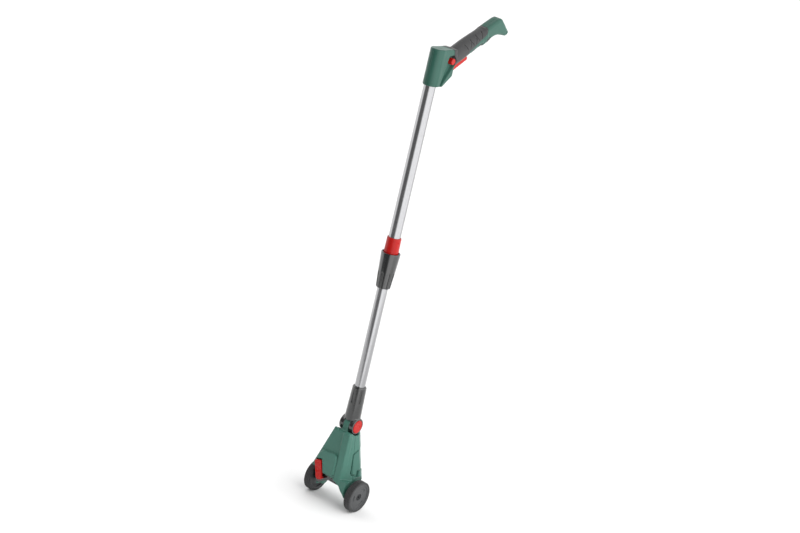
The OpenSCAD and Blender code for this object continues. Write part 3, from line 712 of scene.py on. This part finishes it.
def handle_field(p):
    """Head, grip and pommel as one solid, p starting at the head's foot."""
    x, y, z = p
    body = join(head_of(p), grip_core(p), 5)
    side = outline_of(y, z, POMMEL)
    tail = meet(side - 0.6, np.abs(x) - 13, 7)
    body = join(body, tail, 4)
    # bevels under the tail
    hollow = meet(outline_of(y, z, [(178, 96), (182, 107), (197, 107), (207, 112), (222, 104),
                                    (214, 90)]), 10.4 - np.abs(x), 1)
    body = cut(body, hollow, 0.8)
    # wedge let in between the head's side and its lower cheek
    wedge = outline_of(y, z, [(22, 63), (9.8, -2), (17, -2), (43, 38.5), (50, 54), (36, 65)])
    floor = np.maximum(9.5, 9.5 + 2.0 * (y - 13.75 - 0.6486 * (z - 3)))
    return cut(body, meet(wedge, (floor - np.abs(x)) / 1.6, 0.3), 0.4)


def pad_region(p):
    """Where the soft skin lies, with the finger patches below."""
    return np.minimum(outline_of(p[1], p[2], PAD), finger_patches(p))


def pad_grooves(p):
    """Slanted grip grooves across the rear half of the pads."""
    x, down, along = in_grip(p)
    grooves = np.float32(1e3)
    for i in range(6):
        lean = 0.75 if i % 2 else -0.35
        line = np.abs(along - (58 + 9.5 * i) + lean * (down + 4)) / math.hypot(1, lean) - 0.75
        grooves = np.minimum(grooves, line)
    return meet(meet(grooves, np.abs(down + 8.5) - 6.5, 0.8), 5 - np.abs(x))


def handle_cuts(p):
    """Openings that shells and pads share: tube socket, trigger slot and lock-off hole."""
    socket = rod_of(p, 2, (0, 0), TUBE_R + 0.02, -9, 60)
    slot = box_of(in_grip(p), (-7.1, 6, -9), (7.1, 60, 67), 1)
    hole = rod_of(p, 0, (36, 52), 6.9, -40, 40)
    return join(join(socket, slot), hole)


def finger_patches(p):
    """Three long soft patches on each side of the underside, behind the trigger."""
    x, down, along = in_grip(p)
    patches = np.float32(1e3)
    for middle in (77.5, 101.5, 126.5):
        patch = box_of((np.abs(x), down, along), (5, 9, middle - 6.5), (30, 40, middle + 6.5), 1.5)
        patches = np.minimum(patches, patch)
    return patches


def make_handle():
    """Two hollow shells with a soft skin let into each."""
    step = 0.7
    p = space((-17, -17, -1), (17, 217, 138), step)
    body = handle_field(p)
    cuts = handle_cuts(p)
    pads = pad_region(p)
    pad_t = 1.6           # thickness of the soft skin
    shell = cut(body, meet(pads, -(body + pad_t)), 0.3)
    hollow = body + pad_t + 2.4
    tube_wall = np.sqrt(p[0] ** 2 + p[1] ** 2) - TUBE_R - 2.5
    hollow = cut(hollow, meet(tube_wall, p[2] - 62))
    shell = cut(shell, hollow)
    shell = cut(shell, cuts, 0.5)
    pad = meet(meet(body - 0.35, -(body + pad_t - 0.1)), pads + 0.15, 0.8)
    pad = cut(pad, meet(pad_grooves(p), -(body + 0.85)), 0.2)
    pad = cut(pad, cuts, 0.5)
    for side, name in ((1, "left"), (-1, "right")):
        half = 0.06 - side * p[0]
        shell_piece = field_mesh("handle_housing_" + name, p, meet(shell, half, 0.35))
        # Shells in the darker copy of the shoe green, whose darkness is painted shade.
        piece(lifted(shell_piece), "upper_pole", "green_plastic", HANDLE_GREEN_PAINTED_SHADE, "handle_shell_" + name)
        pad_piece = field_mesh("grip_skin_" + name, p, meet(pad, half, 0.2))
        piece(lifted(pad_piece), "upper_pole", "grip_rubber", GRIP, "grip_pad_" + name)


def make_trigger():
    """Red trigger lever, rounded along its edges and swelling at its free end."""
    low, high = node_box("trigger")
    p = space([low[0], low[1], low[2] - HANDLE_Z], [high[0], high[1], high[2] - HANDLE_Z], 0.45)
    x, down, along = in_grip(p)
    profile = [(-3, 15), (-3, 21), (2, 25), (12, 27.7), (56, 26.6), (60, 27.1), (63, 25.5),
               (64.4, 22.5), (63, 18), (58, 16), (34, 14), (34, 10.5), (26, 10.5), (26, 14), (6, 14)]
    lever = capped(outline_of(along, down, profile), x, -6.5, 6.5, 1.6)
    crown = down - 27.7 + 0.035 * x * x
    lever = meet(lever, crown, 0.8)
    lever = cut(lever, rod_of((x, down, along), 0, (18, 1.95), 1.55, -9, 9))
    lever = cut(lever, rod_of((x, down, along), 1, (0, 50), 3.6, 9, 18))
    piece(lifted(field_mesh("trigger_lever", p, lever)), "trigger", "red_plastic", RED, "trigger")


def make_lock_off():
    """Cross bar with a crowned, ringed end on both sides."""
    low, high = node_box("lock_off_button")
    p = space(low, high, 0.4)
    y0, z0 = (low[1] + high[1]) / 2, (low[2] + high[2]) / 2
    bar = rod_of(p, 0, (y0, z0), 6.5, low[0], high[0], 1.3)
    radius = np.sqrt((p[1] - y0) ** 2 + (p[2] - z0) ** 2)
    bar = cut(bar, meet(np.abs(radius - 4.6) - 0.3, high[0] - 0.4 - np.abs(p[0])), 0.2)
    bar = cut(bar, rod_of(p, 0, (y0, z0 + 9.5), 7.5, -3, 3))
    piece(field_mesh("lock_off_bar", p, bar), "lock_off", "red_plastic", RED, "lock_off_button")


# ---- Stage ---------------------------------------------------------------------------------
def make_floor():
    """A sheet that runs away behind the object and ends 0.7 m before it, so that the pole
    mirrors the studio's walls."""
    outline = [(0.70, -0.95), (0.70, 1.2), (-4, 3), (-18, 9), (-18, -8), (-4, -2.6), (-1, -1.35)]
    mesh = bpy.data.meshes.new("floor")
    corners = [(0.567 * near + 0.824 * right, -0.824 * near + 0.567 * right, 0)
               for near, right in outline]
    mesh.from_pydata(corners, [], [tuple(range(len(corners)))])
    floor = bpy.data.objects.new("floor", mesh)
    floor.location.z = FLOOR_Z * MM
    bpy.context.collection.objects.link(floor)
    n = Nodes("floor_paper")
    tone = n.mix(n.noise(3, 2), (0.86, 0.86, 0.86), (0.88, 0.88, 0.88))
    mesh.materials.append(n.finish(Base_Color=tone, Roughness=0.9))


def soft_box(name, place, aim, width, height, power):
    """An area light that faces aim and stays out of the camera's sight."""
    data = bpy.data.lights.new(name, "AREA")
    data.shape = "RECTANGLE"
    data.size, data.size_y = width, height
    data.energy = power
    light = bpy.data.objects.new(name, data)
    light.location = place
    light.rotation_euler = (Vector(aim) - Vector(place)).to_track_quat("-Z", "Y").to_euler()
    light.visible_camera = False
    bpy.context.collection.objects.link(light)


def make_world():
    """A cyclorama of soft walls: bright on the right, a dark gap by the camera, a rim at the left."""
    world = bpy.data.worlds.new("studio")
    world.use_nodes = True
    tree = world.node_tree
    place = tree.nodes.new("ShaderNodeTexCoord")
    turn = tree.nodes.new("ShaderNodeMapping")
    turn.inputs["Rotation"].default_value = (0, 0, math.radians(55.5))
    around = tree.nodes.new("ShaderNodeTexGradient")
    around.gradient_type = "RADIAL"
    ramp = tree.nodes.new("ShaderNodeValToRGB")
    walls = [(0.0, 0.55), (0.25, 0.80), (0.30, 0.11), (0.475, 0.11), (0.52, 1.0), (0.79, 1.0),
             (0.84, 0.55), (1.0, 0.55)]
    stops = ramp.color_ramp.elements
    for i, (at, level) in enumerate(walls):
        stop = stops[i] if i < 2 else stops.new(at)
        stop.position = at
        stop.color = (level, level, level, 1)
    background = tree.nodes["Background"]
    background.inputs["Strength"].default_value = 2.0
    tree.links.new(place.outputs["Generated"], turn.inputs["Vector"])
    tree.links.new(turn.outputs["Vector"], around.inputs["Vector"])
    tree.links.new(around.outputs["Fac"], ramp.inputs["Fac"])
    tree.links.new(ramp.outputs["Color"], background.inputs["Color"])
    bpy.context.scene.world = world


def make_lights():
    """One weak key light from the right, over the walls' light."""
    soft_box("key", (2.6, -0.6, 1.5), (0, 0.05, 0.45), 1.6, 2.0, 8)
    make_world()


dress_frame()
make_shoe()
make_cradle()
make_latch()
for wheel_side, wheel_name in ((1, "left"), (-1, "right")):
    make_wheel(wheel_side, wheel_name)
    make_tilt_button(wheel_side, wheel_name)
make_fork()
make_clamp()
make_handle()
make_trigger()
make_lock_off()
make_floor()
make_lights()
